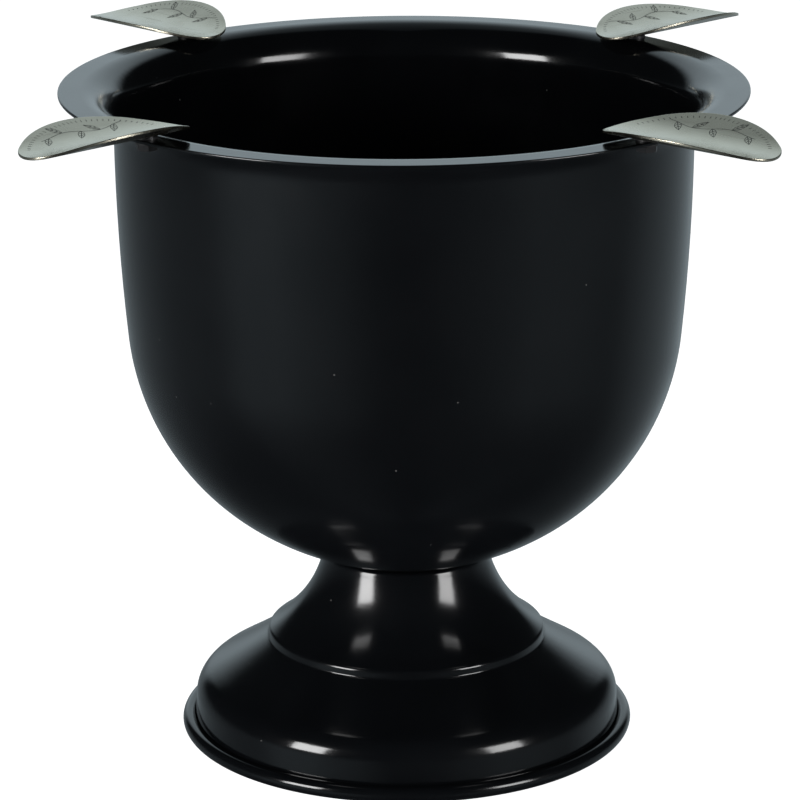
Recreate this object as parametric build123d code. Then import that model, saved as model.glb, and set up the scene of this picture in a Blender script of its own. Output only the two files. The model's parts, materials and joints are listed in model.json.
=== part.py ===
from build123d import *
import os
from math import cos, degrees, acos, radians, sin, sqrt

# Pedestal cigar ashtray: a spun steel bowl, its rim bent well outwards, clamped
# to a spun steel pedestal, with four stainless cigar rests that swivel on the rim.
# Origin: centre of the foot, on the surface that it stands on. +Z is up and the
# front is -Y. Sizes are in millimetres, and angles in degrees.

# ------------------------------------------------------------- sheet metal
sheet = 1.0                   # wall of both spun shells
edge_round = 0.35             # rounding of the rim's cut edge

# ---------------------------------------------------------------- pedestal
foot_r = 68.8                 # outside of the rolled bead
foot_wall_in = 3.8            # foot wall inside the bead's edge, where it turns into the bead
bead_pressed = 0.1            # depth of the flat that the bead stands on
curl_gap = 0.25               # between the end of the curl and the foot wall
shoulder_in = 4.6             # top corner of the foot wall inside the bead's edge
shoulder_z = 15.4
shoulder_round = 9.0
dome_rise = 13.4              # hollow flare from the shoulder to the step
dome_hollow = 0.3             # how far the flare bows below a straight line
step_r = 42.3                 # foot of the short step under the skirt
step_rise = 2.4
step_round = 0.8
skirt_r = 42.0                # lower edge of the neck's flare, before rounding
skirt_round = 1.5
neck_rise = 25.0              # from the skirt's edge to the closed top
neck_hollow = 3.15            # how far the neck bows in from a straight line
neck_top_r = 25.0
neck_round = 1.5              # turn into the closed top

# -------------------------------------------------------------------- bowl
gasket_t = 0.8                # soft ring that the bowl sits on
bottom_flat_r = 23.5          # flat bottom of the bowl, outside
knuckle_r = 12.0              # turn from the flat bottom into the belly
haunch_r = 77.3               # rounding of the bowl's lower side
haunch_start = 36.9           # slope of the outside where the haunch begins
haunch_end = 84.6             # slope of the outside where the wall begins
flare_r = 652.0               # the wall's own long arc, nearly straight
wall_r = 85.5                 # outside of the wall where it stands upright
wall_upright = 2.8            # straight wall under the rim
rim_bend_r = 9.4              # bend between wall and rim, on the underside
rim_flat = 6.7                # width of the flat rim

# ------------------------------------------------------- centre clamp (M8)
clamp_thread_d = 8.0
clamp_clearance = 0.3         # round the stud, each side, in the pedestal's top
clamp_weld_d = 12.0           # welded base of the stud, inside the gasket
clamp_weld_t = 0.6
gasket_d = 46.0
gasket_bore_d = 14.0
clamp_washer_d = 30.0
clamp_washer_t = 2.0
lock_washer_d = 14.8
lock_washer_t = 2.0
lock_washer_split = 1.2
clamp_nut_af = 13.0
clamp_nut_t = 6.5
clamp_thread_spare = 2.5      # thread showing below the nut

# ------------------------------------------------------------- cigar rests
rest_inset = 3.4              # swivel axis in from the rim's outer edge
rest_t = 0.8                  # stainless plate
rest_length = 55.0
rest_width = 34.2             # across the wings, seen from above
rest_end_r = 10.8             # round ends of the oval
rest_trough_r = 29.4          # trough of the rest, on its top face
rest_wing_slope = 20.8        # slope of the flat wings
rest_overhang = 14.9          # middle of the rest outside the swivel axis
rest_edge_round = 0.2
rest_stances = {              # turned about the swivel, outer end raised, side raised
    "back_right": (-0.1, 0.0, -2.8),
    "back_left": (-1.5, -0.9, -1.9),
    "front_left": (0.7, 0.0, 3.9),
    "front_right": (8.0, -0.9, 0.4),
}

# -------------------------------------------------------- rest swivel (M3)
swivel_d = 3.0
swivel_clearance = 0.08       # running fit of the stud, each side
swivel_shoulder_d = 6.0
swivel_shoulder_t = 0.3       # shoulder under the middle of the rest
swivel_washer_d = 6.4
swivel_washer_t = 0.5
swivel_nut_af = 5.5
swivel_nut_t = 1.8
swivel_thread_spare = 0.3

nut_chamfer = 0.3             # eased corners of every hexagon nut

# ------------------------------------------------- places that follow on
foot_wall_low_r = foot_r - foot_wall_in
shoulder_r = foot_r - shoulder_in
bead_r = (foot_wall_in + sheet) / 2
bead_centre_r = foot_r - bead_r
bead_z = bead_r - bead_pressed
step_z = shoulder_z + dome_rise
skirt_z = step_z + step_rise
neck_top_z = skirt_z + neck_rise
seat_z = neck_top_z + gasket_t
rim_r = wall_r + rim_bend_r + rim_flat
rest_pivot_r = rim_r - rest_inset
swivel_hole_d = swivel_d + 2 * swivel_clearance


def arc_point(centre, radius, slope):
    """Point on a bowl arc whose outside has this slope, counted from the bottom."""
    turn = radians(slope)
    return centre[0] + radius * sin(turn), centre[1] - radius * cos(turn)


def arc_edge(centre, radius, start_slope, end_slope):
    """Arc of the bowl's outside between two slopes."""
    return CenterArc(centre, radius, start_slope - 90, end_slope - start_slope)


def sheet_band(outer_line):
    """Section of the sheet that lies inside an outer line drawn from the axis."""
    band = outer_line.offset_2d(sheet, side=Side.LEFT, closed=True)
    return make_face(band.edges())


def turned(section):
    """Solid turned about the Z axis from a section drawn in radius and height."""
    return revolve(Plane.XZ * section, Axis.Z)


def rod(diameter, low_z, high_z):
    """Round bar on the Z axis between two heights."""
    return Pos(0, 0, (low_z + high_z) / 2) * Cylinder(diameter / 2, high_z - low_z)


def washer(outer_d, bore_d, low_z, high_z):
    """Flat ring on the Z axis between two heights."""
    return rod(outer_d, low_z, high_z) - rod(bore_d, low_z, high_z)


def hex_nut(across_flats, bore_d, low_z, high_z):
    """Hexagon nut on the Z axis, its corners eased above and below."""
    height = high_z - low_z
    blank = Pos(0, 0, low_z) * extrude(RegularPolygon(across_flats / 2, 6, major_radius=False), height)
    easing = rod(across_flats / cos(radians(30)), low_z, high_z)
    easing = chamfer(easing.edges(), nut_chamfer)
    return (blank & easing) - rod(bore_d, low_z, high_z)


# -------------------------------------------------------------------- bowl
def bowl_arcs():
    """Centres of the bowl's arcs and the belly's radius, each arc touching the next."""
    flare_centre_r = wall_r - flare_r
    haunch_centre_r = flare_centre_r + (flare_r - haunch_r) * sin(radians(haunch_end))
    belly_r = haunch_r + haunch_centre_r / sin(radians(haunch_start))
    knuckle_centre = (bottom_flat_r, seat_z + knuckle_r)
    belly_rise = sqrt((belly_r - knuckle_r) ** 2 - bottom_flat_r ** 2)
    belly_centre = (0, knuckle_centre[1] + belly_rise)
    knuckle_slope = degrees(acos(belly_rise / (belly_r - knuckle_r)))
    haunch_centre = arc_point(belly_centre, belly_r - haunch_r, haunch_start)
    flare_centre = arc_point(haunch_centre, haunch_r - flare_r, haunch_end)
    return belly_r, knuckle_slope, knuckle_centre, belly_centre, haunch_centre, flare_centre


bend_z = bowl_arcs()[5][1] + wall_upright
rim_under_z = bend_z + rim_bend_r
rim_top_z = rim_under_z + sheet


def bowl_outer_line():
    """Outside of the bowl, from the middle of its flat bottom to the rim's edge."""
    belly_r, knuckle_slope, knuckle_centre, belly_centre, haunch_centre, flare_centre = bowl_arcs()
    return Wire([
        Line((0, seat_z), (bottom_flat_r, seat_z)),
        arc_edge(knuckle_centre, knuckle_r, 0, knuckle_slope),
        arc_edge(belly_centre, belly_r, knuckle_slope, haunch_start),
        arc_edge(haunch_centre, haunch_r, haunch_start, haunch_end),
        arc_edge(flare_centre, flare_r, haunch_end, 90),
        Line((wall_r, flare_centre[1]), (wall_r, bend_z)),
        CenterArc((wall_r + rim_bend_r, bend_z), rim_bend_r, 180, -90),
        Line((wall_r + rim_bend_r, rim_under_z), (rim_r, rim_under_z)),
    ])


def bowl():
    """Spun steel bowl with its flat rim and the four swivel holes."""
    section = sheet_band(bowl_outer_line())
    rim_corners = section.vertices().group_by(Axis.X)[-1]
    section = fillet(rim_corners, edge_round)
    shell = turned(section)
    hole = rod(swivel_hole_d, rim_under_z - sheet, rim_top_z + sheet)
    return shell - [at_pivot(name) * hole for name in rest_stances]


# ---------------------------------------------------------------- pedestal
def pedestal_outer_half():
    """Half section of the pedestal as a solid body, carried on below the table."""
    neck_foot = (skirt_r, skirt_z)
    step_foot = (step_r, step_z)
    shoulder = (shoulder_r, shoulder_z)
    corner_rounds = {
        (neck_top_r, neck_top_z): neck_round,
        neck_foot: skirt_round,
        step_foot: step_round,
        shoulder: shoulder_round,
    }
    half = make_face([
        Line((0, neck_top_z), (neck_top_r, neck_top_z)),
        SagittaArc((neck_top_r, neck_top_z), neck_foot, -neck_hollow),
        Line(neck_foot, step_foot),
        SagittaArc(step_foot, shoulder, -dome_hollow),
        Line(shoulder, (foot_wall_low_r, bead_z)),
        Line((foot_wall_low_r, bead_z), (foot_wall_low_r, -shoulder_z)),
        Line((foot_wall_low_r, -shoulder_z), (0, -shoulder_z)),
        Line((0, -shoulder_z), (0, neck_top_z)),
    ])
    for corner, radius in corner_rounds.items():
        vertex = half.vertices().sort_by_distance((*corner, 0))[0]
        half = fillet(vertex, radius)
    return half


def box_section(low_r, high_r, low_z, high_z):
    """Rectangle in the half section, between two radii and two heights."""
    return Pos((low_r + high_r) / 2, (low_z + high_z) / 2) * Rectangle(high_r - low_r, high_z - low_z)


def bead_section():
    """Curl of the foot's edge: down, outwards, up and back to just short of the wall."""
    curl = Pos(bead_centre_r, bead_z) * (Circle(bead_r) - Circle(bead_r - sheet))
    above_table = box_section(0, 2 * foot_r, 0, neck_top_z)
    open_side = box_section(0, foot_wall_low_r + curl_gap, bead_z, neck_top_z)
    return (curl & above_table) - open_side


def pedestal():
    """Spun steel pedestal, closed at its top and rolled outwards round its foot."""
    half = pedestal_outer_half()
    whole = half + mirror(half, Plane.YZ)
    hollow = offset(whole, -sheet, kind=Kind.INTERSECTION)
    wall = (whole - hollow) & box_section(0, foot_r, bead_z, neck_top_z)
    shell = turned(wall + bead_section())
    hole_d = clamp_thread_d + 2 * clamp_clearance
    return shell - rod(hole_d, neck_top_z - 2 * sheet, neck_top_z + sheet)


# ------------------------------------------------------------ centre clamp
clamp_washer_top_z = neck_top_z - sheet
lock_washer_top_z = clamp_washer_top_z - clamp_washer_t
clamp_nut_top_z = lock_washer_top_z - lock_washer_t
clamp_nut_low_z = clamp_nut_top_z - clamp_nut_t


def seat_gasket():
    """Soft ring between the bowl and the pedestal."""
    return washer(gasket_d, gasket_bore_d, neck_top_z, seat_z)


def clamp_stud():
    """Threaded stud welded under the bowl's flat bottom."""
    weld_base = rod(clamp_weld_d, seat_z - clamp_weld_t, seat_z)
    return weld_base + rod(clamp_thread_d, clamp_nut_low_z - clamp_thread_spare, seat_z)


def clamp_washer():
    """Wide washer that spreads the clamp's pull under the pedestal's top."""
    return washer(clamp_washer_d, clamp_thread_d, lock_washer_top_z, clamp_washer_top_z)


def clamp_lock_washer():
    """Split spring washer."""
    ring = washer(lock_washer_d, clamp_thread_d, clamp_nut_top_z, lock_washer_top_z)
    split = Box(lock_washer_d, lock_washer_split, 2 * lock_washer_t)
    return ring - Pos(lock_washer_d / 2, 0, (clamp_nut_top_z + lock_washer_top_z) / 2) * split


def clamp_nut():
    """Nut that holds the bowl on the pedestal, reached from under the foot."""
    return hex_nut(clamp_nut_af, clamp_thread_d, clamp_nut_low_z, clamp_nut_top_z)


# ------------------------------------------------------------- cigar rests
# Each rest is drawn about its swivel, with X pointing out from the bowl.
shoulder_low_z = rim_top_z + swivel_washer_t
rest_under_z = shoulder_low_z + swivel_shoulder_t
swivel_nut_top_z = rim_under_z - swivel_washer_t
swivel_nut_low_z = swivel_nut_top_z - swivel_nut_t


def at_pivot(name):
    """Place on the rim of a rest's swivel, with X pointing out from the bowl."""
    step = 360 / len(rest_stances)
    azimuth = step / 2 + step * list(rest_stances).index(name)
    return Rot(0, 0, azimuth) * Pos(rest_pivot_r, 0, 0)


def at_rest(name):
    """Place of a rest, turned about its swivel."""
    return at_pivot(name) * Rot(0, 0, rest_stances[name][0])


def tipped(name):
    """Slight tip of a rest on the top of its stud, as the loose swivels let them hang."""
    end_raised, side_raised = rest_stances[name][1:]
    stud_top = Pos(0, 0, rest_under_z)
    return stud_top * Rot(side_raised, -end_raised, 0) * stud_top.inverse()


def oval(length, width, end_r):
    """Oval of four arcs that touch, two round ends and two long sides."""
    half_length = length / 2
    half_width = width / 2
    squares = half_length ** 2 + half_width ** 2 - 2 * half_length * end_r
    side_r = squares / (2 * (half_width - end_r))
    end_x = half_length - end_r
    side_y = side_r - half_width
    reach = side_r / (side_r - end_r)
    touch_x = end_x * reach
    touch_y = side_y * (reach - 1)
    return make_face([
        ThreePointArc((-touch_x, touch_y), (0, half_width), (touch_x, touch_y)),
        ThreePointArc((touch_x, touch_y), (half_length, 0), (touch_x, -touch_y)),
        ThreePointArc((touch_x, -touch_y), (0, -half_width), (-touch_x, -touch_y)),
        ThreePointArc((-touch_x, -touch_y), (-half_length, 0), (-touch_x, touch_y)),
    ])


def rest_bend_line(half_width):
    """Underside of a rest across its length: a trough with a flat wing each side."""
    under_r = rest_trough_r + rest_t
    slope = radians(rest_wing_slope)
    centre = (0, rest_under_z + under_r)
    wing_root = (under_r * sin(slope), centre[1] - under_r * cos(slope))
    wing_tip = (half_width, wing_root[1] + (half_width - wing_root[0]) * sin(slope) / cos(slope))
    return Wire([
        Line((-wing_tip[0], wing_tip[1]), (-wing_root[0], wing_root[1])),
        ThreePointArc((-wing_root[0], wing_root[1]), (0, rest_under_z), wing_root),
        Line(wing_root, wing_tip),
    ])


def rest_plate():
    """Oval plate bent to a shallow trough, about its swivel."""
    bend_line = rest_bend_line(rest_width).offset_2d(rest_t, side=Side.LEFT, closed=True)
    across = Plane(origin=(0, 0, 0), x_dir=(0, 1, 0), z_dir=(1, 0, 0)) * make_face(bend_line.edges())
    bent_strip = extrude(across, rest_length, both=True)
    cutter = extrude(Pos(rest_overhang, 0) * oval(rest_length, rest_width, rest_end_r), 2 * rim_top_z)
    return bent_strip & cutter


def cigar_rest(name):
    """Stainless plate that a cigar lies in, with its sharp edges rounded off."""
    plate = rest_plate()
    cut_faces = plate.faces().filter_by(lambda face: abs(face.normal_at().Z) < 0.1)
    long_edges = cut_faces.edges().filter_by(lambda edge: abs(edge.tangent_at(0.5).Z) < 0.8)
    return at_rest(name) * tipped(name) * fillet(long_edges, rest_edge_round)


def swivel_stud(name):
    """Shouldered stud, welded under a rest and running in the rim's hole."""
    shoulder = rod(swivel_shoulder_d, shoulder_low_z, rest_under_z + rest_t / 2)
    shank = rod(swivel_d, swivel_nut_low_z - swivel_thread_spare, shoulder_low_z)
    return at_rest(name) * (shoulder + shank - tipped(name) * rest_plate())


def swivel_nut(name):
    """Low nut under the rim, on the end of a rest's stud."""
    return at_rest(name) * hex_nut(swivel_nut_af, swivel_d, swivel_nut_low_z, swivel_nut_top_z)


def swivel_washers(low_z):
    """Four plastic washers, one on each swivel hole of the rim."""
    one = washer(swivel_washer_d, swivel_hole_d, low_z, low_z + swivel_washer_t)
    return Compound([at_pivot(name) * one for name in rest_stances])


# ------------------------------------------------------------------- nodes
def build():
    """Every separate piece of the ashtray, by the name of its node."""
    nodes = {
        "bowl": bowl(),
        "pedestal": pedestal(),
        "seat_gasket": seat_gasket(),
        "clamp_stud": clamp_stud(),
        "clamp_washer": clamp_washer(),
        "clamp_lock_washer": clamp_lock_washer(),
        "clamp_nut": clamp_nut(),
        "upper_swivel_washers": swivel_washers(rim_top_z),
        "lower_swivel_washers": swivel_washers(rim_under_z - swivel_washer_t),
    }
    for name in rest_stances:
        nodes[f"cigar_rest_{name}"] = cigar_rest(name)
        nodes[f"swivel_stud_{name}"] = swivel_stud(name)
        nodes[f"swivel_nut_{name}"] = swivel_nut(name)
    return nodes


os.makedirs("parts", exist_ok=True)
for node, shape in build().items():
    export_step(shape, f"parts/{node}.step")
print(f"rim {2 * rim_r:.1f} across, {rim_top_z:.1f} high; foot {2 * foot_r:.1f} across")
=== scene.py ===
# %% [markdown]
# # A footed cigar ashtray
#
# The real object is a deep round bowl with its rim bent outwards, clamped to
# a flared foot. Both are spun from steel sheet and enamelled gloss black. Four
# oval rests of polished stainless steel swivel on the rim, each with a trough
# to hold a cigar.
#
# The CAD model already has every piece in its place, so the lesson starts by
# loading it as a fixed frame. Sizes come from its boxes wherever they can.

# %% Load the CAD model as a fixed frame
import json
import math

import bpy
from mathutils import Matrix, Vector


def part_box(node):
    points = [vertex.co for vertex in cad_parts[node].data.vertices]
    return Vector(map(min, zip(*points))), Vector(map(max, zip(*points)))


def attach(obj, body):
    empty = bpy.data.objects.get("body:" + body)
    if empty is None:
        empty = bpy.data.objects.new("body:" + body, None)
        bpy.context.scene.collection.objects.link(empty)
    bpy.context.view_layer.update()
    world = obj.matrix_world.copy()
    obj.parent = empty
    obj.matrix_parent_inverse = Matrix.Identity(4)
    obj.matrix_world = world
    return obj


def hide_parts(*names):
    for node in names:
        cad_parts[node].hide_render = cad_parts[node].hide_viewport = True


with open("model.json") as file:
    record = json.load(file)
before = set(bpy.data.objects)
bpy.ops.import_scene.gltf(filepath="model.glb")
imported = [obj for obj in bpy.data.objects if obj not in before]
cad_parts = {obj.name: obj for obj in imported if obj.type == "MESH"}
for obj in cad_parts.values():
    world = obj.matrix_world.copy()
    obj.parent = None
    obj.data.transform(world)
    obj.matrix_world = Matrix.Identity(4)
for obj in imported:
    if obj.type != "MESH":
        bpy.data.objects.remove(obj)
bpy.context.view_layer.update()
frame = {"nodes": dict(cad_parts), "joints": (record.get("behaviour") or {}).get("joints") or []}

MM = 0.001
rest_names = [joint["name"].removeprefix("swivel_") for joint in frame["joints"]]
print("rests:", rest_names)

# %% [markdown]
# ## Two small helpers for node trees
#
# Materials and Geometry Nodes are both trees of nodes. A helper that makes a
# node, sets its options and fills its inputs keeps each tree short enough to
# read. An input takes either a plain value or another node's output, and then
# the helper draws the link.

# %% Node helpers
def add_node(tree, kind, inputs=None, **options):
    """New node with its options set and its inputs filled or linked."""
    made = tree.nodes.new(kind)
    for name, value in options.items():
        setattr(made, name, value)
    for name, value in (inputs or {}).items():
        if isinstance(value, bpy.types.NodeSocket):
            tree.links.new(value, made.inputs[name])
        else:
            made.inputs[name].default_value = value
    return made


def sum_of(tree, operation, first, second=0.0):
    """Output of a Math node."""
    return add_node(tree, "ShaderNodeMath", {0: first, 1: second}, operation=operation).outputs[0]


def stepped(tree, value, low, high, to_low=0.0, to_high=1.0):
    """Smooth change from one value to another while the input goes from low to high."""
    inputs = {"Value": value, "From Min": low, "From Max": high, "To Min": to_low, "To Max": to_high}
    return add_node(tree, "ShaderNodeMapRange", inputs, interpolation_type="SMOOTHSTEP").outputs["Result"]

# %% [markdown]
# ## Finishes
#
# Each finish is a material whose colour, roughness and bump come from nodes.
# All of them read Object coordinates, which are metres in the frame, so a
# noise scale of 500 gives features about 2 mm across.

# %% A new material and its noise
def new_finish(name, **constants):
    """Material with a Principled shader whose plain values are set on its own sockets."""
    finish = bpy.data.materials.new(name)
    finish.use_nodes = True
    tree = finish.node_tree
    shader = tree.nodes["Principled BSDF"]
    for socket, value in constants.items():
        shader.inputs[socket.replace("_", " ")].default_value = value
    place = add_node(tree, "ShaderNodeTexCoord").outputs["Object"]
    return finish, tree, shader, place


def noise(tree, place, scale, detail=2.0):
    """Noise from 0 to 1 with features about 1/scale metres across."""
    inputs = {"Vector": place, "Scale": scale, "Detail": detail}
    return add_node(tree, "ShaderNodeTexNoise", inputs).outputs["Fac"]


def between(tree, amount, low_colour, high_colour):
    """Colour that changes from one to another as the amount goes from 0 to 1."""
    mix = add_node(tree, "ShaderNodeMix", data_type="RGBA")
    tree.links.new(amount, mix.inputs["Factor"])
    mix.inputs["A"].default_value = (*low_colour, 1.0)
    mix.inputs["B"].default_value = (*high_colour, 1.0)
    return mix.outputs["Result"]


def bumped(tree, height, distance, normal=None):
    """Normal of a surface with this height pattern, distance metres high."""
    bump = add_node(tree, "ShaderNodeBump", {"Height": height, "Distance": distance, "Strength": 1.0})
    if normal is not None:
        tree.links.new(normal, bump.inputs["Normal"])
    return bump.outputs["Normal"]


def finish_with(tree, shader, colour=None, roughness=None, normal=None):
    """Links the patterns that were made to the shader."""
    for socket, value in (("Base Color", colour), ("Roughness", roughness), ("Normal", normal)):
        if value is not None:
            tree.links.new(value, shader.inputs[socket])

# %% [markdown]
# ### Gloss black enamel
#
# The enamel is a hard black paint on spun sheet. Three things keep it from
# looking like plastic: a very shallow orange peel from spraying, faint level
# rings that the spinning tool left in the sheet, and a gloss that is a little
# dulled in patches by handling. The rings need a pattern that depends only on
# height and distance from the axis, so the noise reads those two numbers and
# not the angle. A few dust specks sit in the paint.

# %% Enamel
def gloss_black_enamel():
    """Black paint over spun steel."""
    finish, tree, shader, place = new_finish("gloss_black_enamel", IOR=1.5, Specular_IOR_Level=0.5)
    axes = add_node(tree, "ShaderNodeSeparateXYZ", {"Vector": place}).outputs
    from_axis = sum_of(tree, "SQRT", sum_of(tree, "ADD",
                                            sum_of(tree, "MULTIPLY", axes["X"], axes["X"]),
                                            sum_of(tree, "MULTIPLY", axes["Y"], axes["Y"])))
    ring_place = add_node(tree, "ShaderNodeCombineXYZ", {"X": from_axis, "Z": axes["Z"]}).outputs["Vector"]
    rings = noise(tree, ring_place, 700.0, 3.0)
    peel = noise(tree, place, 420.0, 1.0)
    handling = noise(tree, place, 45.0, 4.0)
    specks = add_node(tree, "ShaderNodeTexVoronoi", {"Vector": place, "Scale": 95.0}).outputs["Distance"]
    speck = stepped(tree, specks, 0.018, 0.026, 1.0, 0.0)
    black = between(tree, handling, (0.0020, 0.0023, 0.0028), (0.0036, 0.0041, 0.0050))
    colour = add_node(tree, "ShaderNodeMix", data_type="RGBA")
    tree.links.new(speck, colour.inputs["Factor"])
    tree.links.new(black, colour.inputs["A"])
    colour.inputs["B"].default_value = (0.10, 0.10, 0.095, 1.0)
    gloss = stepped(tree, handling, 0.3, 0.75, 0.10, 0.17)
    normal = bumped(tree, peel, 0.000010)
    normal = bumped(tree, rings, 0.0000035, normal)
    finish_with(tree, shader, colour.outputs["Result"], gloss, normal)
    return finish


enamel = gloss_black_enamel()
print("finish:", enamel.name)

# %% [markdown]
# ### Polished stainless steel
#
# The rests are stamped from polished sheet. Polishing leaves fine lines along
# the plate, so the noise is squeezed across the plate and stretched along it.
# Each rest stands at its own angle, and a Mapping node turns the lines with
# it, which is why the finish is made once for each rest.

# %% Stainless
def polished_stainless(name, turn):
    """Polished sheet whose fine lines run along a plate turned this far, in radians."""
    finish, tree, shader, place = new_finish(f"polished_stainless_{name}", Metallic=1.0)
    turned = {"Vector": place, "Rotation": (0.0, 0.0, -turn)}
    along = add_node(tree, "ShaderNodeMapping", turned).outputs["Vector"]
    stretched = {"Vector": along, "Scale": (0.06, 1.0, 1.0)}
    lines_place = add_node(tree, "ShaderNodeMapping", stretched).outputs["Vector"]
    lines = noise(tree, lines_place, 5200.0, 2.0)
    clouds = noise(tree, place, 130.0, 5.0)
    scratches = stepped(tree, noise(tree, lines_place, 900.0, 6.0), 0.62, 0.70)
    steel = between(tree, clouds, (0.51, 0.475, 0.385), (0.60, 0.56, 0.455))
    shine = stepped(tree, clouds, 0.3, 0.7, 0.20, 0.29)
    shine = sum_of(tree, "ADD", shine, sum_of(tree, "MULTIPLY", scratches, 0.10))
    normal = bumped(tree, lines, 0.0000012)
    normal = bumped(tree, clouds, 0.000020, normal)
    finish_with(tree, shader, steel, shine, normal)
    return finish

# %% [markdown]
# ### Small parts
#
# The engraved lines are etched and darkened. The clamp under the bowl is
# bright zinc, its colour slightly blue and blotchy, and the swivels' studs
# and nuts are black oxide. The gasket is dull rubber and the swivel washers are nylon.
# They differ in colour, shine and grain only, so one function makes them all
# from a row of values.

# %% Plain finishes
def plain_finish(name, colours, roughness, grain, grain_depth, metallic=0.0):
    """Finish with a blotched colour, a range of roughness and a fine grain."""
    finish, tree, shader, place = new_finish(name, Metallic=metallic)
    blotches = noise(tree, place, 240.0, 4.0)
    colour = between(tree, blotches, *colours)
    shine = stepped(tree, blotches, 0.3, 0.7, *roughness)
    normal = bumped(tree, noise(tree, place, grain, 2.0), grain_depth)
    finish_with(tree, shader, colour, shine, normal)
    return finish


etched = plain_finish("etched_line", ((0.030, 0.030, 0.028), (0.075, 0.075, 0.070)), (0.40, 0.60),
                      6000.0, 0.000006, 0.6)
zinc = plain_finish("bright_zinc", ((0.50, 0.53, 0.58), (0.66, 0.66, 0.62)), (0.22, 0.38),
                    2500.0, 0.000006, 1.0)
oxide = plain_finish("black_oxide", ((0.018, 0.018, 0.020), (0.045, 0.045, 0.047)), (0.35, 0.50),
                     3000.0, 0.000006, 0.8)
rubber = plain_finish("black_rubber", ((0.012, 0.012, 0.012), (0.024, 0.024, 0.023)), (0.65, 0.85),
                      2600.0, 0.000020)
nylon = plain_finish("black_nylon", ((0.014, 0.014, 0.015), (0.024, 0.024, 0.025)), (0.40, 0.55),
                     1800.0, 0.000008)

# %% [markdown]
# ## A turned shell with Geometry Nodes
#
# A spun shell has a simple rule: one profile, carried round the axis. The
# Screw modifier or Spin could do it too. Here a Geometry Nodes tree makes a
# grid with one column for each step round the axis and one row for each
# point of the profile. Each grid point then looks up its row's profile point
# and turns it by its column's angle. Merge by Distance closes the seam and
# the poles. The tree is used for both shells, with its own profile each time.

# %% Tree for turned shells
def new_tree(name, *sockets):
    """Geometry Nodes tree with a geometry in, a geometry out and these named inputs."""
    tree = bpy.data.node_groups.new(name, "GeometryNodeTree")
    tree.interface.new_socket("Geometry", in_out="INPUT", socket_type="NodeSocketGeometry")
    for label, kind in sockets:
        tree.interface.new_socket(label, in_out="INPUT", socket_type=f"NodeSocket{kind}")
    tree.interface.new_socket("Geometry", in_out="OUTPUT", socket_type="NodeSocketGeometry")
    return tree, add_node(tree, "NodeGroupInput").outputs, add_node(tree, "NodeGroupOutput").inputs


def end_tree(tree, ends, geometry, material):
    """Last nodes of a tree: realize, shade smooth, set the material and give the result."""
    real = add_node(tree, "GeometryNodeRealizeInstances", {"Geometry": geometry})
    smooth = add_node(tree, "GeometryNodeSetShadeSmooth", {"Geometry": real.outputs[0]})
    made = add_node(tree, "GeometryNodeSetMaterial", {"Geometry": smooth.outputs[0], "Material": material})
    tree.links.new(made.outputs[0], ends["Geometry"])


def turned_shell_tree():
    """Carries a profile, drawn in X and Z, round the Z axis."""
    tree, given, ends = new_tree("turned_shell", ("Segments", "Int"), ("Material", "Material"))
    size = add_node(tree, "GeometryNodeAttributeDomainSize", {"Geometry": given["Geometry"]},
                    component="MESH")
    rows = size.outputs["Point Count"]
    columns = sum_of(tree, "ADD", given["Segments"], 1.0)
    grid = add_node(tree, "GeometryNodeMeshGrid", {"Vertices X": columns, "Vertices Y": rows})
    index = add_node(tree, "GeometryNodeInputIndex").outputs[0]
    column = sum_of(tree, "FLOOR", sum_of(tree, "DIVIDE", sum_of(tree, "ADD", index, 0.5), rows))
    row = sum_of(tree, "SUBTRACT", index, sum_of(tree, "MULTIPLY", column, rows))
    position = add_node(tree, "GeometryNodeInputPosition").outputs[0]
    looked_up = add_node(tree, "GeometryNodeSampleIndex", data_type="FLOAT_VECTOR")
    tree.links.new(given["Geometry"], looked_up.inputs["Geometry"])
    tree.links.new(position, looked_up.inputs["Value"])
    tree.links.new(row, looked_up.inputs["Index"])
    step = sum_of(tree, "DIVIDE", math.tau, given["Segments"])
    turn = sum_of(tree, "MULTIPLY", column, step)
    turned = add_node(tree, "ShaderNodeVectorRotate", rotation_type="Z_AXIS")
    tree.links.new(looked_up.outputs["Value"], turned.inputs["Vector"])
    tree.links.new(turn, turned.inputs["Angle"])
    placed = add_node(tree, "GeometryNodeSetPosition",
                      {"Geometry": grid.outputs["Mesh"], "Position": turned.outputs["Vector"]})
    closed = add_node(tree, "GeometryNodeMergeByDistance", {"Geometry": placed.outputs[0], "Distance": 1e-6})
    end_tree(tree, ends, closed.outputs[0], given["Material"])
    return tree

# %% [markdown]
# ## From a tree to a plain mesh
#
# The modifier's inputs are set by each socket's identifier before the object
# is first evaluated. The evaluated result is then copied to a plain mesh and
# the modifier goes. The volume tells whether the faces point outwards: it is
# positive only if they do.

# %% Run a tree
def make_piece(name, points, edges, tree, **values):
    """Object with the plain mesh that a tree makes from points and edges."""
    start = bpy.data.meshes.new(name)
    start.from_pydata(points, edges, [])
    piece = bpy.data.objects.new(name, start)
    bpy.context.scene.collection.objects.link(piece)
    run_tree(piece, tree, **values)
    return piece


def run_tree(piece, tree, **values):
    """Replaces a piece's mesh with what a tree makes of it."""
    modifier = piece.modifiers.new("grow", "NODES")
    modifier.node_group = tree
    for socket in tree.interface.items_tree:
        if socket.in_out == "INPUT" and socket.name.replace(" ", "_").lower() in values:
            modifier[socket.identifier] = values[socket.name.replace(" ", "_").lower()]
    graph = bpy.context.evaluated_depsgraph_get()
    made = bpy.data.meshes.new_from_object(piece.evaluated_get(graph), depsgraph=graph)
    piece.modifiers.remove(modifier)
    piece.data = made
    made.name = piece.name


def volume_of(piece):
    """Volume of a closed mesh in cubic millimetres, negative if it is inside out."""
    mesh = piece.data
    mesh.calc_loop_triangles()
    total = 0.0
    for triangle in mesh.loop_triangles:
        a, b, c = (mesh.vertices[corner].co for corner in triangle.vertices)
        total += a.dot(b.cross(c)) / 6
    return total / MM ** 3


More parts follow.
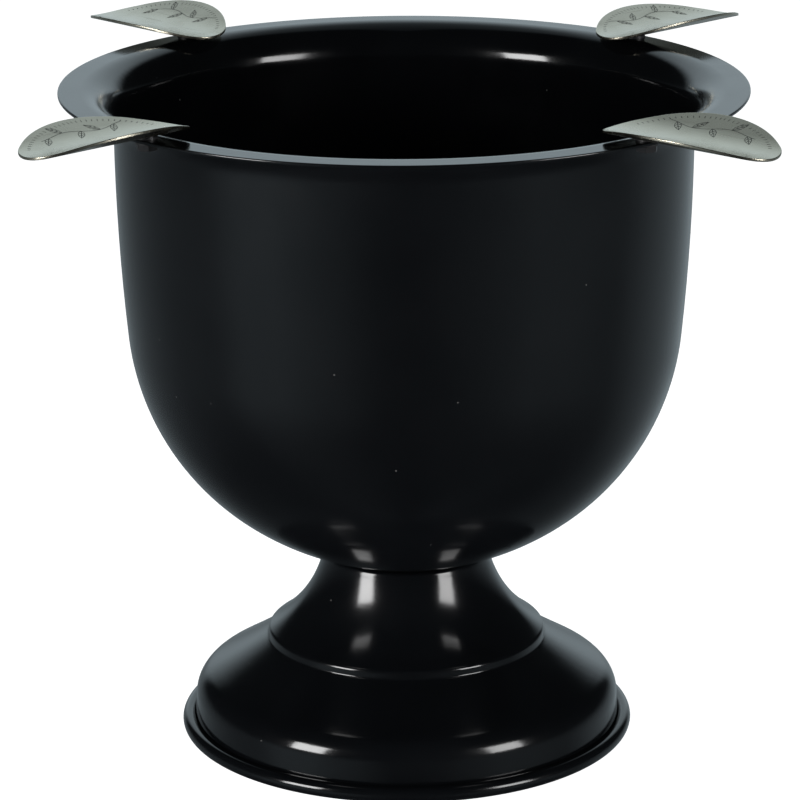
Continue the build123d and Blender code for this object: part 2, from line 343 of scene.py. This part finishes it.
def chain(count):
    """Edges that join points one after another."""
    return [(first, first + 1) for first in range(count - 1)]

# %% [markdown]
# ## Drawing a profile
#
# A profile is a list of points in distance from the axis and height. Bends
# need many points and straight runs few. A straight run gets one extra point
# close to each end, so that the smooth shading of a bend doesn't bleed along
# the flat metal beside it.

# %% Profile helpers
def bend(centre, radius, first, last, steps):
    """Points of an arc between two angles in degrees."""
    angles = [math.radians(first + (last - first) * step / steps) for step in range(steps + 1)]
    return [(centre[0] + radius * math.cos(a), centre[1] + radius * math.sin(a)) for a in angles]


def straight(start, end, guard=0.3 * MM):
    """Points of a straight run, with a guard point near each end."""
    length = math.dist(start, end)
    shares = (0.0, guard / length, 1.0 - guard / length, 1.0)
    return [tuple(a + (b - a) * share for a, b in zip(start, end)) for share in shares]


def joined(*runs):
    """One line of points from several, without the doubles where they meet."""
    line = []
    for point in (point for run in runs for point in run):
        if not line or math.dist(point, line[-1]) > 1e-6:
            line.append(point)
    return line

# %% [markdown]
# ## The bowl
#
# Outside, the bowl is four arcs that touch: a tight knuckle round its flat
# bottom, the belly, the haunch, and a wall so slightly curved that it looks
# straight. A wide bend turns the wall out into the narrow flat of the rim.
# The inside is the same arcs with the sheet's thickness off their radii, or
# added where the sheet bends the other way. Heights hang from the two heights
# that the CAD box gives: the bowl's bottom and the top of its rim.

# %% Bowl profile
bowl_low, bowl_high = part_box("bowl")
sheet = 1.0 * MM
seat_z = bowl_low[2]
rim_top_z = bowl_high[2]
rim_r = bowl_high[0]
rim_edge_round = 0.35 * MM
bottom_flat_r = 23.5 * MM
knuckle_r = 12.0 * MM
haunch_r = 77.3 * MM
haunch_start = 36.9
haunch_end = 84.6
flare_r = 652.0 * MM
wall_r = 85.5 * MM
rim_bend_r = 9.4 * MM
wall_upright = 2.8 * MM


def arc_point(centre, radius, slope):
    """Point of an arc where its outside has this slope in degrees."""
    turn = math.radians(slope)
    return centre[0] + radius * math.sin(turn), centre[1] - radius * math.cos(turn)


def bowl_profile():
    """Closed section of the bowl: up the outside, round the rim's edge and down the inside."""
    flare_offset = wall_r - flare_r
    haunch_offset = flare_offset + (flare_r - haunch_r) * math.sin(math.radians(haunch_end))
    belly_r = haunch_r + haunch_offset / math.sin(math.radians(haunch_start))
    belly_rise = math.sqrt((belly_r - knuckle_r) ** 2 - bottom_flat_r ** 2)
    knuckle_centre = (bottom_flat_r, seat_z + knuckle_r)
    belly_centre = (0.0, knuckle_centre[1] + belly_rise)
    knuckle_end = math.degrees(math.acos(belly_rise / (belly_r - knuckle_r)))
    haunch_centre = arc_point(belly_centre, belly_r - haunch_r, haunch_start)
    flare_centre = arc_point(haunch_centre, haunch_r - flare_r, haunch_end)
    bend_z = flare_centre[1] + wall_upright
    bend_centre = (wall_r + rim_bend_r, bend_z)

    def side(inward):
        """One side of the sheet: the outside, or the inside when inward is the sheet."""
        bottom = (0.0, seat_z + inward)
        flat_end = (rim_r - rim_edge_round, bend_z + rim_bend_r + inward)
        knuckle = bend(knuckle_centre, knuckle_r - inward, -90, knuckle_end - 90, 6)
        belly = bend(belly_centre, belly_r - inward, knuckle_end - 90, haunch_start - 90, 14)
        haunch = bend(haunch_centre, haunch_r - inward, haunch_start - 90, haunch_end - 90, 24)
        flare = bend(flare_centre, flare_r - inward, haunch_end - 90, 0, 8)
        rim_bend = bend(bend_centre, rim_bend_r + inward, 180, 90, 14)
        return joined(straight(bottom, knuckle[0]), knuckle, belly, haunch, flare,
                      straight(flare[-1], rim_bend[0]), rim_bend, straight(rim_bend[-1], flat_end))

    outside = side(0.0)
    inside = side(sheet)
    edge_r = rim_r - rim_edge_round
    low_corner = bend((edge_r, outside[-1][1] + rim_edge_round), rim_edge_round, -90, 0, 4)
    high_corner = bend((edge_r, inside[-1][1] - rim_edge_round), rim_edge_round, 0, 90, 4)
    return joined(outside, low_corner, high_corner, reversed(inside))


bowl_line = bowl_profile()
print("bowl profile:", len(bowl_line), "points, top", round(max(z for r, z in bowl_line) / MM, 2), "mm")

# %% [markdown]
# The swivel holes are drilled in a second small tree: four round bars stand
# on a circle of four points, and Mesh Boolean takes them away. The shape of
# the holes is hidden under the washers, but the studs really pass through.
# After the cut, edges sharper than 35 degrees are marked sharp, so that the
# flat metal round each hole keeps its flat shading.

# %% Tree that drills the rim
drill_length = 8 * MM


def drilled_tree():
    """Round holes through a flat rim, evenly spaced on a circle."""
    tree, given, ends = new_tree("drilled_rim", ("Holes", "Int"), ("Circle Radius", "Float"),
                                 ("First Angle", "Float"), ("Hole Radius", "Float"), ("Height", "Float"),
                                 ("Material", "Material"))
    ring = add_node(tree, "GeometryNodeMeshCircle",
                    {"Vertices": given["Holes"], "Radius": given["Circle Radius"]})
    lifted = add_node(tree, "ShaderNodeCombineXYZ", {"Z": given["Height"]}).outputs["Vector"]
    turned = add_node(tree, "ShaderNodeCombineXYZ", {"Z": given["First Angle"]}).outputs["Vector"]
    placed = add_node(tree, "GeometryNodeTransform",
                      {"Geometry": ring.outputs["Mesh"], "Translation": lifted, "Rotation": turned})
    bar = add_node(tree, "GeometryNodeMeshCylinder",
                   {"Vertices": 48, "Radius": given["Hole Radius"], "Depth": drill_length})
    bars = add_node(tree, "GeometryNodeInstanceOnPoints",
                    {"Points": placed.outputs[0], "Instance": bar.outputs["Mesh"]})
    real = add_node(tree, "GeometryNodeRealizeInstances", {"Geometry": bars.outputs[0]})
    cut = add_node(tree, "GeometryNodeMeshBoolean", operation="DIFFERENCE", solver="EXACT")
    tree.links.new(given["Geometry"], cut.inputs["Mesh 1"])
    tree.links.new(real.outputs[0], cut.inputs["Mesh 2"])
    end_tree(tree, ends, cut.outputs["Mesh"], given["Material"])
    return tree


segments = 240
pivot = frame["joints"][0]["pos_m"]
pivot_r = math.hypot(pivot[0], pivot[1])
swivel_hole_d = 3.16 * MM
turned_shell = turned_shell_tree()
bowl = make_piece("spun_bowl", [(r, 0.0, z) for r, z in bowl_line], chain(len(bowl_line)), turned_shell,
                  segments=segments, material=enamel)
print("bowl:", len(bowl.data.polygons), "faces,", round(volume_of(bowl)), "cubic mm")
run_tree(bowl, drilled_tree(), holes=len(rest_names), circle_radius=pivot_r,
         first_angle=math.atan2(pivot[1], pivot[0]), hole_radius=swivel_hole_d / 2,
         height=rim_top_z, material=enamel)
bowl.data.set_sharp_from_angle(angle=math.radians(35))
print("drilled:", len(bowl.data.polygons), "faces,", round(volume_of(bowl)), "cubic mm")
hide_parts("bowl")
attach(bowl, "stand")

# %% [markdown]
# ## The pedestal
#
# The pedestal is spun too, so the same tree makes it. Its line starts at the
# clamp's hole in the closed top, runs down the hollow neck to a short step
# like the edge of a skirt, out over the dome to the foot wall, and ends in a
# curl that is rolled outwards round the foot. The corners are first drawn
# sharp and then rounded. A rational curve with the cosine of half the turn as
# its weight is exactly a circle's arc, so the corners stay true.

# %% Corner and hollow helpers
def hollow(start, end, depth, steps):
    """Arc from start to end that bows to the right of its way by this depth."""
    chord = math.dist(start, end)
    radius = chord ** 2 / (8 * depth) + depth / 2
    half_turn = math.asin(chord / (2 * radius))
    ahead = ((end[0] - start[0]) / chord, (end[1] - start[1]) / chord)
    right = (ahead[1], -ahead[0])
    line = []
    for step in range(steps + 1):
        turn = half_turn * (2 * step / steps - 1)
        forward = chord / 2 + radius * math.sin(turn)
        aside = depth - radius * (1 - math.cos(turn))
        line.append(tuple(start[k] + forward * ahead[k] + aside * right[k] for k in (0, 1)))
    return line


def rounded(before, after, radius, steps):
    """Two lines that meet at a corner, joined by an arc of this radius."""
    corner = before[-1]
    came = math.atan2(corner[1] - before[-2][1], corner[0] - before[-2][0])
    goes = math.atan2(after[1][1] - corner[1], after[1][0] - corner[0])
    half_turn = abs(math.remainder(goes - came, math.tau)) / 2
    reach = radius * math.tan(half_turn)
    start = (corner[0] - reach * math.cos(came), corner[1] - reach * math.sin(came))
    end = (corner[0] + reach * math.cos(goes), corner[1] + reach * math.sin(goes))
    arc = []
    for step in range(steps + 1):
        share = step / steps
        weights = ((1 - share) ** 2, 2 * math.cos(half_turn) * share * (1 - share), share ** 2)
        arc.append(tuple(sum(w * p[k] for w, p in zip(weights, (start, corner, end))) / sum(weights)
                         for k in (0, 1)))
    kept = [point for point in before if math.dist(point, corner) > 1.15 * reach]
    left = [point for point in after if math.dist(point, corner) > 1.15 * reach]
    return kept + arc + left


def moved_in(line, distance):
    """Line moved to the right of its way, square to it at every point."""
    moved = []
    for number, point in enumerate(line):
        last = line[max(number - 1, 0)]
        following = line[min(number + 1, len(line) - 1)]
        length = math.dist(last, following)
        right = ((following[1] - last[1]) / length, -(following[0] - last[0]) / length)
        moved.append((point[0] + distance * right[0], point[1] + distance * right[1]))
    return moved

# %% Pedestal profile
pedestal_low, pedestal_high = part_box("pedestal")
foot_r = pedestal_high[0]
neck_top_z = pedestal_high[2]
clamp_hole_r = 4.3 * MM
neck_top_r = 25.0 * MM
neck_round = 1.5 * MM
neck_hollow = 3.15 * MM
skirt_r = 42.0 * MM
skirt_z = neck_top_z - 25.0 * MM
skirt_round = 1.5 * MM
step_r = 42.3 * MM
step_z = skirt_z - 2.4 * MM
step_round = 0.8 * MM
dome_hollow = 0.3 * MM
shoulder_r = 64.2 * MM
shoulder_z = 15.4 * MM
shoulder_round = 9.0 * MM
foot_wall_low_r = 65.0 * MM
curl_gap = 0.25 * MM


def pedestal_profile():
    """Closed section of the pedestal, from the clamp's hole over the outside and back inside."""
    curl_r = (foot_r - foot_wall_low_r + sheet) / 2
    curl_centre = (foot_r - curl_r, curl_r - 0.1 * MM)
    top = straight((clamp_hole_r, neck_top_z), (neck_top_r, neck_top_z))
    neck = hollow((neck_top_r, neck_top_z), (skirt_r, skirt_z), neck_hollow, 28)
    step = straight((skirt_r, skirt_z), (step_r, step_z), 1.1 * MM)
    dome = hollow((step_r, step_z), (shoulder_r, shoulder_z), dome_hollow, 20)
    wall = straight((shoulder_r, shoulder_z), (foot_wall_low_r, curl_centre[1]), 3 * MM)
    line = rounded(top, neck, neck_round, 8)
    line = rounded(line, step, skirt_round, 8)
    line = rounded(line, dome, step_round, 5)
    line = rounded(line, wall, shoulder_round, 12)
    inside = moved_in(line, sheet)[:-1]
    end_reach = foot_wall_low_r + curl_gap - curl_centre[0]
    inner_end = 360 + math.degrees(math.acos(end_reach / (curl_r - sheet)))
    outer_end = 360 + math.degrees(math.acos(end_reach / curl_r))
    curl_inside = bend(curl_centre, curl_r - sheet, 180, inner_end, 30)
    curl_outside = bend(curl_centre, curl_r, outer_end, 180, 36)
    curl_outside = [(r, max(z, 0.0)) for r, z in curl_outside]
    return joined(line, curl_inside, curl_outside, reversed(inside), line[:1])


pedestal_line = pedestal_profile()
pedestal = make_piece("spun_pedestal", [(r, 0.0, z) for r, z in reversed(pedestal_line)],
                      chain(len(pedestal_line)), turned_shell, segments=segments, material=enamel)
pedestal.data.set_sharp_from_angle(angle=math.radians(50))
print("pedestal:", len(pedestal.data.polygons), "faces,", round(volume_of(pedestal)), "cubic mm")
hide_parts("pedestal")
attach(pedestal, "stand")

# %% [markdown]
# ## The rests and the small parts
#
# The CAD plates, studs, washers and nuts have the right shape, so they stay
# and only get their finishes. A stance says how each rest hangs: turned about
# its swivel, then its outer end raised, then its side raised, in degrees. The
# polishing lines of each plate follow its own turn.

# %% Finishes for the CAD nodes
rest_stances = {
    "back_right": (-0.1, 0.0, -2.8),
    "back_left": (-1.5, -0.9, -1.9),
    "front_left": (0.7, 0.0, 3.9),
    "front_right": (8.0, -0.9, 0.4),
}
rest_places = {}
for joint in frame["joints"]:
    name = joint["name"].removeprefix("swivel_")
    x, y, z = joint["pos_m"]
    rest_places[name] = (x, y, math.atan2(y, x) + math.radians(rest_stances[name][0]))


def repaint(node, finish):
    """Gives a CAD node a new finish."""
    for slot in frame["nodes"][node].material_slots:
        slot.material = finish


for name, (x, y, turn) in rest_places.items():
    stainless = polished_stainless(name, turn)
    repaint(f"cigar_rest_{name}", stainless)
    repaint(f"swivel_stud_{name}", oxide)
    repaint(f"swivel_nut_{name}", oxide)
for node in ("clamp_stud", "clamp_washer", "clamp_lock_washer", "clamp_nut"):
    repaint(node, zinc)
for node in ("upper_swivel_washers", "lower_swivel_washers"):
    repaint(node, nylon)
repaint("seat_gasket", rubber)
print("repainted", len(frame["nodes"]), "CAD nodes")

# %% [markdown]
# ## Engraved ornament
#
# Each wing of a rest carries thin engraved lines: a leafy sprig and a border
# of short ticks. They are drawn flat, as if the plate had not been bent yet,
# and a tree turns them into fine closed bars and bends them by the plate's
# own rule: round the trough first, then straight up the slope of the wing.
# The bars are 0.2 mm wide and flattened to a third of that, half sunk in the
# steel. The 0.035 mm that stands proud keeps the dark lines in sight. The last
# step tips and turns each drawing exactly as its plate hangs.

# %% Flat drawing of one plate
plate_half_length = 27.5 * MM
plate_half_width = 17.8 * MM
plate_overhang = 14.9 * MM
plate_t = 0.8 * MM
trough_r = 29.4 * MM
wing_slope = math.radians(20.8)
stud_rise = 0.8 * MM
bar_width = 0.20 * MM
bar_flattening = 0.35


def border_ticks(share, length, count):
    """Short lines that point inwards from an oval a little inside the plate's edge."""
    ticks = []
    for number in range(count):
        angle = math.tau * (number + 0.5) / count
        along = math.copysign(abs(math.cos(angle)) ** 1.09, math.cos(angle))
        across = math.copysign(abs(math.sin(angle)) ** 1.09, math.sin(angle))
        if abs(across) > 0.35:
            edge = (share * plate_half_length * along, share * plate_half_width * across)
            reach = 1 - length / math.hypot(*edge)
            ticks.append([edge, (edge[0] * reach, edge[1] * reach)])
    return ticks


def leaf(root, way, length, width):
    """Outline, midrib and four veins of a leaf that grows from its root."""
    ahead = (math.cos(way), math.sin(way))
    left = (-ahead[1], ahead[0])

    def at(share, aside):
        return tuple(root[k] + length * share * ahead[k] + aside * left[k] for k in (0, 1))

    def half_width(share):
        return width / 2 * math.sin(math.pi * share ** 0.8)

    lines = [[at(0.0, 0.0), at(0.5, 0.0), at(0.96, 0.0)]]
    for side in (1, -1):
        lines.append([at(step / 10, side * half_width(step / 10)) for step in range(11)])
        for share in (0.25, 0.5):
            lines.append([at(share, 0.0), at(share + 0.17, 0.8 * side * half_width(share + 0.17))])
    return lines


def wing_drawing(side):
    """Sprig of five leaves on a long curved stem, on one wing."""
    middle = 10.2 * MM
    stem = [(x * MM, side * (middle + 1.1 * MM * math.sin(x / 3.4))) for x in range(-15, 16)]
    lines = [stem]
    for number, x in enumerate((-12, -6, 0, 6, 12)):
        root = stem[x + 15]
        turn = math.radians(52 if number % 2 else -52)
        lines += leaf(root, side * turn, 5.0 * MM, 1.9 * MM)
    return lines


drawing = border_ticks(0.90, 1.0 * MM, 84) + wing_drawing(1) + wing_drawing(-1)
print("lines in one drawing:", len(drawing))

# %% Tree that bends the drawing onto the plate
def engraved_lines_tree():
    """Thin bars along flat lines, bent to the trough and the wings of a rest."""
    tree, given, ends = new_tree("engraved_lines", ("Line Width", "Float"), ("Trough Radius", "Float"),
                                 ("Wing Slope", "Float"), ("Material", "Material"))
    curves = add_node(tree, "GeometryNodeMeshToCurve", {"Mesh": given["Geometry"]})
    half_width = sum_of(tree, "MULTIPLY", given["Line Width"], 0.5)
    bar = add_node(tree, "GeometryNodeCurvePrimitiveCircle", {"Resolution": 6, "Radius": half_width})
    bars = add_node(tree, "GeometryNodeCurveToMesh",
                    {"Curve": curves.outputs[0], "Profile Curve": bar.outputs["Curve"], "Fill Caps": True})
    position = add_node(tree, "GeometryNodeInputPosition").outputs[0]
    axes = add_node(tree, "ShaderNodeSeparateXYZ", {"Vector": position}).outputs
    flattened = sum_of(tree, "MULTIPLY", axes["Z"], bar_flattening)
    wanted = sum_of(tree, "DIVIDE", axes["Y"], given["Trough Radius"])
    lowest = sum_of(tree, "MULTIPLY", given["Wing Slope"], -1.0)
    slope = sum_of(tree, "MAXIMUM", sum_of(tree, "MINIMUM", wanted, given["Wing Slope"]), lowest)
    on_wing = sum_of(tree, "SUBTRACT", axes["Y"], sum_of(tree, "MULTIPLY", slope, given["Trough Radius"]))
    sine = sum_of(tree, "SINE", slope)
    cosine = sum_of(tree, "COSINE", slope)
    inner_r = sum_of(tree, "SUBTRACT", given["Trough Radius"], flattened)
    across = sum_of(tree, "ADD", sum_of(tree, "MULTIPLY", inner_r, sine),
                    sum_of(tree, "MULTIPLY", on_wing, cosine))
    height = sum_of(tree, "SUBTRACT", given["Trough Radius"], sum_of(tree, "MULTIPLY", inner_r, cosine))
    height = sum_of(tree, "ADD", height, sum_of(tree, "MULTIPLY", on_wing, sine))
    bent = add_node(tree, "ShaderNodeCombineXYZ",
                    {"X": axes["X"], "Y": across, "Z": height}).outputs["Vector"]
    placed = add_node(tree, "GeometryNodeSetPosition", {"Geometry": bars.outputs[0], "Position": bent})
    end_tree(tree, ends, placed.outputs[0], given["Material"])
    return tree


def stand_of(name):
    """Place of a rest: on its swivel, turned about it and tipped as the plate hangs."""
    x, y, turn = rest_places[name]
    end_raised, side_raised = (math.radians(angle) for angle in rest_stances[name][1:])
    place = Matrix.Translation((x, y, rim_top_z + stud_rise)) @ Matrix.Rotation(turn, 4, "Z")
    return place @ Matrix.Rotation(side_raised, 4, "X") @ Matrix.Rotation(-end_raised, 4, "Y")


engraved_lines = engraved_lines_tree()
for name in rest_names:
    points = [(plate_overhang + x, y, 0.0) for line in drawing for x, y in line]
    edges = []
    start = 0
    for line in drawing:
        edges += [(start + first, start + last) for first, last in chain(len(line))]
        start += len(line)
    engraving = make_piece(f"engraving_{name}", points, edges, engraved_lines, line_width=bar_width,
                           trough_radius=trough_r, wing_slope=wing_slope, material=etched)
    engraving.data.transform(stand_of(name) @ Matrix.Translation((0.0, 0.0, plate_t)))
    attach(engraving, f"rest_{name}")
    print(engraving.name, len(engraving.data.polygons), "faces,", round(volume_of(engraving), 2), "cubic mm")

# %% [markdown]
# ## Floor, light and camera
#
# The floor is a plain pale sheet. Polished black shows nothing but what
# stands round it, so the light is planned as reflections: a bright screen
# behind the ashtray for the rim, a dim table all round for the wall, dark
# above, and two soft boxes at the sides for the highlights on the neck.

# %% Floor
def floor_finish():
    """Pale paper that stays near white under the soft light."""
    finish, tree, shader, place = new_finish("pale_floor", Roughness=0.9, Specular_IOR_Level=0.1)
    paper = between(tree, noise(tree, place, 30.0, 5.0), (0.86, 0.86, 0.86), (0.88, 0.88, 0.88))
    finish_with(tree, shader, paper)
    tree.links.new(paper, shader.inputs["Emission Color"])
    shader.inputs["Emission Strength"].default_value = 1.1
    return finish


def floor():
    """Round sheet of pale paper under the ashtray."""
    mesh = bpy.data.meshes.new("floor")
    rim = bend((0.0, 0.0), 4.0, 0, 352.5, 47)
    mesh.from_pydata([(x, y, -0.0001) for x, y in rim], [], [tuple(range(len(rim)))])
    mesh.materials.append(floor_finish())
    sheet_of_paper = bpy.data.objects.new("floor", mesh)
    bpy.context.scene.collection.objects.link(sheet_of_paper)
    sheet_of_paper.visible_glossy = False


floor()

# %% Camera
camera_azimuth = math.radians(1.92)
camera_pitch = math.radians(16.96)
camera_distance = 1.1493
camera_height = 0.4532
camera_aside = -0.00162
camera_roll = math.radians(-0.28)


def camera():
    """Camera that looks down a little, with a long lens."""
    data = bpy.data.cameras.new("camera")
    data.lens = 179.61
    data.sensor_width = 36.0
    data.clip_end = 20.0
    eye = bpy.data.objects.new("camera", data)
    bpy.context.scene.collection.objects.link(eye)
    side = (math.cos(camera_azimuth), math.sin(camera_azimuth))
    eye.location = (camera_distance * side[1] + camera_aside * side[0],
                    -camera_distance * side[0] + camera_aside * side[1],
                    camera_height)
    eye.rotation_mode = "XYZ"
    turn = Matrix.Rotation(camera_azimuth, 4, "Z") @ Matrix.Rotation(math.pi / 2 - camera_pitch, 4, "X")
    turn = turn @ Matrix.Rotation(camera_roll, 4, "Z")
    eye.rotation_euler = turn.to_euler()
    bpy.context.scene.camera = eye


camera()

# %% World
def how_far(tree, way, direction):
    """How far a way goes along a direction, from -1 to 1."""
    product = add_node(tree, "ShaderNodeVectorMath", {0: way, 1: direction}, operation="DOT_PRODUCT")
    return product.outputs["Value"]


def graded(tree, value, stops):
    """Value read off a line of stops, each a place from -1 to 1 and the value there."""
    share = add_node(tree, "ShaderNodeMapRange", {"Value": value, "From Min": -1.0}).outputs["Result"]
    ramp = add_node(tree, "ShaderNodeValToRGB", {"Fac": share})
    points = ramp.color_ramp.elements
    while len(points) < len(stops):
        points.new(0.5)
    for point, (place, level) in zip(points, stops):
        point.position = (place + 1) / 2
        point.color = (level, level, level, 1.0)
    return add_node(tree, "ShaderNodeRGBToBW", {"Color": ramp.outputs["Color"]}).outputs["Val"]


def studio_world():
    """White to the camera, and a planned gradient to everything that reflects it."""
    world = bpy.data.worlds.new("studio")
    world.use_nodes = True
    tree = world.node_tree
    tree.nodes.clear()
    way = add_node(tree, "ShaderNodeTexCoord").outputs["Generated"]
    ahead = (-math.sin(camera_azimuth), math.cos(camera_azimuth), 0.0)
    forward = how_far(tree, way, ahead)
    right = (math.cos(camera_azimuth), math.sin(camera_azimuth), 0.0)
    aside = how_far(tree, way, right)
    height = add_node(tree, "ShaderNodeSeparateXYZ", {"Vector": way}).outputs["Z"]
    level = sum_of(tree, "SQRT", sum_of(tree, "SUBTRACT", 1.0, sum_of(tree, "MULTIPLY", height, height)))
    heading = sum_of(tree, "DIVIDE", forward, sum_of(tree, "MAXIMUM", level, 0.001))
    screen = graded(tree, height, [(-1.0, 0.76), (0.45, 0.76), (0.56, 0.62), (0.67, 0.42), (0.75, 0.23),
                                   (0.91, 0.15), (1.0, 0.08)])
    above = sum_of(tree, "MULTIPLY", stepped(tree, heading, 0.84, 0.95), screen)
    above = sum_of(tree, "ADD", above, 0.014)
    table = graded(tree, heading, [(-1.0, 0.02), (-0.9, 0.08), (-0.6, 0.18), (-0.35, 0.17), (0.0, 0.11),
                                   (0.3, 0.11), (0.7, 0.17), (0.9, 0.22), (1.0, 0.24)])
    right_side = sum_of(tree, "MULTIPLY", aside, heading)
    table = sum_of(tree, "MULTIPLY", table, stepped(tree, right_side, 0.05, 0.35, 1.0, 1.7))
    below = sum_of(tree, "MULTIPLY", table, stepped(tree, height, -0.80, -0.30, 0.15, 1.0))
    horizon = stepped(tree, height, -0.16, 0.16)
    mix = add_node(tree, "ShaderNodeMix", {"Factor": horizon, 2: below, 3: above}, data_type="FLOAT")
    seen = add_node(tree, "ShaderNodeBackground", {"Color": (1.0, 1.0, 1.0, 1.0), "Strength": 1.0})
    mirrored = add_node(tree, "ShaderNodeBackground",
                        {"Color": (0.84, 1.0, 1.08, 1.0), "Strength": mix.outputs[0]})
    to_camera = add_node(tree, "ShaderNodeLightPath").outputs["Is Camera Ray"]
    both = add_node(tree, "ShaderNodeMixShader", {0: to_camera, 1: mirrored.outputs[0], 2: seen.outputs[0]})
    add_node(tree, "ShaderNodeOutputWorld", {"Surface": both.outputs[0]})
    bpy.context.scene.world = world


lit_height = 0.05


def soft_box(name, azimuth, elevation, width, height, power, distance=1.3):
    """Area light that looks at the pedestal, its azimuth counted from the camera's side."""
    light = bpy.data.lights.new(name, "AREA")
    light.shape = "RECTANGLE"
    light.size = width
    light.size_y = height
    light.energy = power
    lamp = bpy.data.objects.new(name, light)
    bpy.context.scene.collection.objects.link(lamp)
    turn = Matrix.Rotation(camera_azimuth + math.radians(azimuth), 4, "Z")
    turn = turn @ Matrix.Rotation(math.pi / 2 - math.radians(elevation), 4, "X")
    lit_point = Matrix.Translation((0.0, 0.0, lit_height))
    lamp.matrix_world = lit_point @ turn @ Matrix.Translation((0.0, 0.0, distance))
    lamp.visible_camera = False


studio_world()
soft_box("soft_box_right", 53.0, 15.0, 0.42, 0.50, 6.8)
soft_box("soft_box_left", -53.0, 15.0, 0.42, 0.50, 10.5)
bpy.context.scene.view_settings.view_transform = "Standard"
